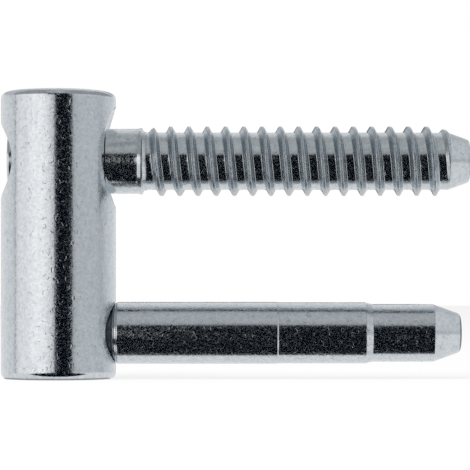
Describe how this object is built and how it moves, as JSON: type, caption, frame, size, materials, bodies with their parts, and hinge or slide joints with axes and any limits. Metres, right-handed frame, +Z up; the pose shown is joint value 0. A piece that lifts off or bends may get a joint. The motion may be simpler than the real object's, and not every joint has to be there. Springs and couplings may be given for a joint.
{
  "type": "drill-in hinge leaf half",
  "caption": "Leaf half of a drill-in door hinge: round barrel bored for the hinge pin, with a coarse threaded pin that turns and a smooth support pin.",
  "frame": {"origin": "centre of the barrel's closed top face, on the hinge axis", "axes": "+Z up along the hinge axis, out of the closed end; +X along both pins, from the barrel towards the door leaf; +Y across them"},
  "size_m": [0.0655, 0.016, 0.04],
  "materials": {
    "zinc_plated_steel": "bright zinc plating on turned steel, satin with fine dents",
    "zinc_plated_thread": "bright zinc plating on a rolled thread, slightly duller",
    "zinc_plated_pin": "bright zinc plating on drawn steel",
    "bearing_plastic": "natural acetal, moulded"
  },
  "bodies": {
    "leaf_knuckle": {"barrel": "zinc_plated_steel", "support_pin": "zinc_plated_pin", "bearing_bush": "bearing_plastic"},
    "threaded_pin": {"threaded_pin": "zinc_plated_thread"}
  },
  "joints": [
    {"name": "threaded_pin_turn", "type": "hinge", "parent": "leaf_knuckle", "child": "threaded_pin", "pos_m": [0, 0, -0.0096], "axis": [1, 0, 0], "continuous": true}
  ]
}
